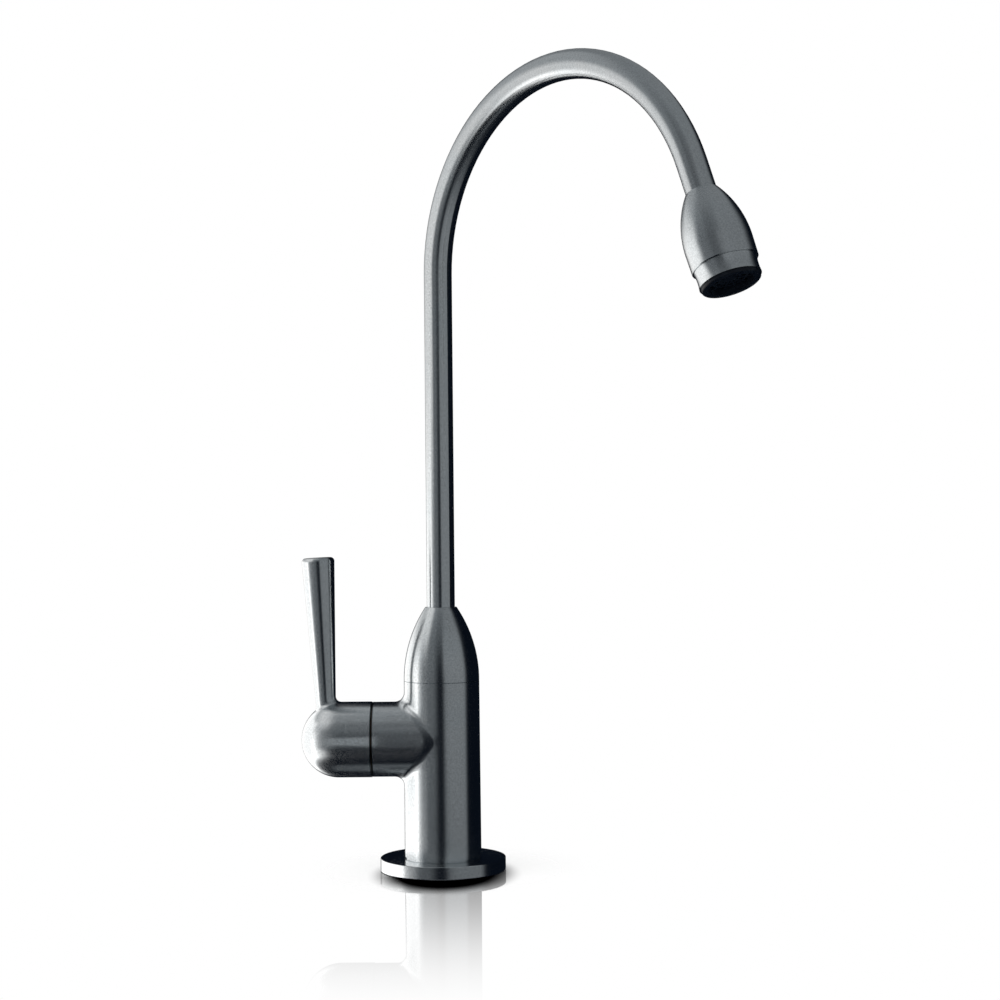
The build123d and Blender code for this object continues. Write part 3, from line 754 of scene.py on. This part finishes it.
for name, spec in lampSpecs.items():
    addLamp(name, spec)


# Soft reflector panels, each laid over the ones before it. Each edge is an angle and its softness in degrees:
# round the set (0 is the camera's side, + its right) and up from level
reflectorPanels = {
    "ceilingBack": {"round": ((-190, 1), (190, 1)), "up": ((57, 8), (120, 1)), "glow": 0.25},
    "ceiling": {"round": ((-90, 50), (88, 36)), "up": ((38, 40), (120, 1)), "glow": 0.25},
    "keyEdge": {"round": ((-157, 8), (-145, 8)), "up": ((-39, 8), (17, 60)), "glow": 1.05},
    "key": {"round": ((-148, 10), (-72, 9)), "up": ((-39, 8), (17, 60)), "glow": 2.2},
    "keyTop": {"round": ((-150, 20), (-60, 30)), "up": ((36, 20), (84, 14)), "glow": 0.45},
    "keyFade": {"round": ((-74, 10), (-49, 16)), "up": ((-39, 8), (28, 60)), "glow": 1.0},
    "front": {"round": ((-66, 22), (-15, 22)), "up": ((-20, 8), (48, 12)), "glow": 0.17},
    "frontGap": {"round": ((-24, 14), (18, 14)), "up": ((30, 24), (60, 20)), "glow": 0.13},
    "fillNear": {"round": ((7, 8), (30, 8)), "up": ((0, 10), (42, 12)), "glow": 0.28},
    "fill": {"round": ((12, 14), (79, 14)), "up": ((-18, 12), (42, 16)), "glow": 0.28},
    "fillLow": {"round": ((26, 8), (79, 8)), "up": ((-46, 10), (-18, 10)), "glow": 0.1},
    "under": {"round": ((-190, 1), (190, 1)), "up": ((-120, 1), (-74, 6)), "glow": 0.13},
}
reflectorBall = {"centre": (0.0, 0.0, 0.05), "radius": 0.5, "round": (-180, 180), "up": (-90, 90)}
reflectorPaint = {
    "dark": (0.0038, 0.006, 0.0108),  # where no panel is
    "tint": (0.96, 1.0, 1.02),  # of faint panels
    "brightTint": (1.035, 1.0, 0.972),
    "brightFrom": (0.2, 1.0),  # the glow at which the bright tint starts, and where it is full
    "step": 1.0,  # degrees between points
}
# Smaller cards, each on a piece of a ball of its own round what it lights, and clear past its edges
reflectorCards = {
    "hubCard": {
        "place": {"centre": (-0.042, 0.0, 0.052), "radius": 0.12, "round": (-170, -76), "up": (-40, 44)},
        "panel": {"round": ((-150, 10), (-84, 8)), "up": ((-32, 8), (36, 10)), "glow": 1.5},
    },
    "hubBand": {
        "place": {"centre": (-0.042, 0.0, 0.052), "radius": 0.026, "round": (-60, 60), "up": (-20, 24)},
        "panel": {"round": ((-26, 16), (37, 14)), "up": ((-6, 6), (10, 5)), "glow": 0.28},
    },
    "bellCard": {
        "place": {"centre": (0.104, -0.115, 0.235), "radius": 0.05, "round": (-160, -64), "up": (-80, 30)},
        "panel": {"round": ((-138, 30), (-81, 14)), "up": ((-66, 10), (8, 30)), "glow": 1.35},
    },
    "nozzleCard": {
        "place": {"centre": (0.104, -0.115, 0.235), "radius": 0.3, "round": (-160, -64), "up": (-30, 42)},
        "panel": {"round": ((-138, 30), (-81, 14)), "up": ((-12, 16), (24, 20)), "glow": 0.92},
    },
}


# 1 between two edges and 0 outside them, with a soft step at each edge; the angle goes round at a full turn
def softBand(angle, start, end):
    half = (end[0] - start[0]) / 2
    off = (angle - start[0] - half + 180) % 360 - 180
    steps = [np.clip((half + off) / start[1] + 0.5, 0, 1), np.clip((half - off) / end[1] + 0.5, 0, 1)]
    return np.prod([step * step * (3 - 2 * step) for step in steps], axis=0)


def panelShare(panel, turns, rises):
    return softBand(turns, *panel["round"]) * softBand(rises, *panel["up"])


# Angles of the points on a ball or a piece of one
def ballAngles(place, step):
    turns = np.arange(place["round"][0], place["round"][1], step)
    rises = np.arange(place["up"][0], place["up"][1] + step, step)
    return np.meshgrid(turns, rises)


# A glow that only rough reflections show, and only to what is inside the ball; the alpha is its cover
def makeGlowMaterial():
    material, tree = newTree("reflectorGlow")
    path = addNode(tree, "ShaderNodeLightPath").outputs
    paint = addNode(tree, "ShaderNodeAttribute", {"attribute_name": "glow"})
    inside = addNode(tree, "ShaderNodeNewGeometry").outputs["Backfacing"]
    shown = maths(tree, "MULTIPLY", paint.outputs["Alpha"], inside)
    gone = maths(tree, "MAXIMUM", path["Is Singular Ray"], maths(tree, "SUBTRACT", 1.0, shown))
    glowing = addNode(tree, "ShaderNodeEmission", Color=paint.outputs["Color"])
    clear = addNode(tree, "ShaderNodeBsdfTransparent")
    mix = addNode(tree, "ShaderNodeMixShader", Fac=gone)
    tree.links.new(glowing.outputs[0], mix.inputs[1])
    tree.links.new(clear.outputs[0], mix.inputs[2])
    output = addNode(tree, "ShaderNodeOutputMaterial")
    tree.links.new(mix.outputs[0], output.inputs["Surface"])
    material.cycles.emission_sampling = "NONE"
    return material


glowMaterial = makeGlowMaterial()


# Points on a ball: x = r sin(a) cos(e), y = -r cos(a) cos(e), z = r sin(e), each with its glow and its cover
def addReflector(name, place, glow, cover, paint):
    a, e = np.radians(ballAngles(place, paint["step"]))
    points = place["radius"] * np.stack([np.sin(a) * np.cos(e), -np.cos(a) * np.cos(e), np.sin(e)], -1)
    wholeTurn = place["round"][1] - place["round"][0] == 360
    card = gridMesh(name, points + np.array(place["centre"]), closeColumns=wholeTurn)
    glow = glow.reshape(-1, 1)
    low, high = paint["brightFrom"]
    bright = np.clip((glow - low) / (high - low), 0, 1)
    tint = (1 - bright) * np.array(paint["tint"]) + bright * np.array(paint["brightTint"])
    colour = glow * tint + np.array(paint["dark"])
    attribute = card.data.color_attributes.new("glow", "FLOAT_COLOR", "POINT")
    attribute.data.foreach_set("color", np.hstack([colour, cover.reshape(-1, 1)]).ravel())
    card.data.materials.append(glowMaterial)
    for flag in ("visible_camera", "visible_diffuse", "visible_transmission", "visible_shadow"):
        setattr(card, flag, False)


# The panels are laid over each other on one ball, and each card is alone on its piece of a ball
def addReflectors(panels, cards):
    turns, rises = ballAngles(reflectorBall, reflectorPaint["step"])
    glow = np.zeros(turns.shape)
    for panel in panels.values():
        glow += (panel["glow"] - glow) * panelShare(panel, turns, rises)
    addReflector("reflectors", reflectorBall, glow, np.ones(turns.shape), reflectorPaint)
    for name, card in cards.items():
        cover = panelShare(card["panel"], *ballAngles(card["place"], reflectorPaint["step"]))
        addReflector(name, card["place"], np.full(cover.shape, card["panel"]["glow"]), cover, reflectorPaint)


addReflectors(reflectorPanels, reflectorCards)

floorSpec = {
    "rings": (0.0005, 0.03, 0.06, 0.12, 0.25, 0.6, 2.5),  # radii
    "sides": 96,
    "drop": 0.00002,  # below the deck's level
    "mirror": 0.67,  # share of the mirror at the foot
    "mirrorReach": (0.0, 0.24),  # from the foot to where nothing is mirrored
    "shadowReach": (0.026, 0.07),  # from the foot to where the floor is plain white
    # Painted shadow under the plate's front: a dark patch round this point, narrower in x by the stretch
    "paintedShadowPlace": (0.001, -0.010, 0.0),
    "paintedShadowStretch": (1.5, 1.0, 1.0),
    "paintedShadowReach": (0.028, 0.047),  # the painted shadow: a dark patch where the plate meets the floor, black out to the first distance and gone by the second
}


# A pale floor that mirrors the foot of the faucet, carries a painted shadow patch in front of the plate, and turns
# plain white further out: points at (r cos(a), r sin(a)) on flat rings
def addFloor(spec):
    turns = np.linspace(0, 2 * np.pi, spec["sides"], endpoint=False)
    r, a = np.meshgrid(spec["rings"], turns, indexing="ij")
    points = np.stack([r * np.cos(a), r * np.sin(a), np.full(r.shape, -spec["drop"])], -1)
    floor = gridMesh("floor", points[:, ::-1], closeColumns=True)
    material, tree = newTree("paleFloor")
    place = addNode(tree, "ShaderNodeTexCoord").outputs["Object"]
    distance = vectorMaths(tree, "LENGTH", place)
    aside = vectorMaths(tree, "SUBTRACT", place, spec["paintedShadowPlace"])
    aside = vectorMaths(tree, "LENGTH", vectorMaths(tree, "MULTIPLY", aside, spec["paintedShadowStretch"]))
    paintedShadow = ramp(tree, aside, *spec["paintedShadowReach"])
    paint = addNode(tree, "ShaderNodeBsdfPrincipled", Base_Color=(0.96, 0.96, 0.96, 1), Roughness=0.9)
    paint.inputs["Specular IOR Level"].default_value = 0.0
    white = addNode(tree, "ShaderNodeEmission", Strength=1.0)
    far = addNode(tree, "ShaderNodeMixShader", Fac=ramp(tree, distance, *spec["shadowReach"]))
    mirror = addNode(tree, "ShaderNodeBsdfGlossy", Color=(1, 1, 1, 1), Roughness=0.0)
    gloss = addNode(
        tree, "ShaderNodeMixShader", Fac=ramp(tree, distance, *spec["mirrorReach"], spec["mirror"], 0.0)
    )
    # The painted shadow is a black diffuse surface mixed over the floor by the patch's ramp
    dark = addNode(tree, "ShaderNodeBsdfDiffuse", Color=(0.0, 0.0, 0.0, 1))
    paintedShadowMix = addNode(tree, "ShaderNodeMixShader", Fac=paintedShadow)
    fromBelow = addNode(tree, "ShaderNodeNewGeometry").outputs["Backfacing"]
    under = addNode(tree, "ShaderNodeMixShader", Fac=fromBelow)
    clear = addNode(tree, "ShaderNodeBsdfTransparent")
    output = addNode(tree, "ShaderNodeOutputMaterial")
    for first, second, mix in (
        (paint, white, far),
        (far, mirror, gloss),
        (dark, gloss, paintedShadowMix),
        (paintedShadowMix, clear, under),
    ):
        tree.links.new(first.outputs[0], mix.inputs[1])
        tree.links.new(second.outputs[0], mix.inputs[2])
    tree.links.new(under.outputs[0], output.inputs["Surface"])
    floor.data.materials.append(material)
    floor.visible_glossy = False


addFloor(floorSpec)
bpy.context.scene.view_settings.view_transform = "Standard"
print("studio ready")
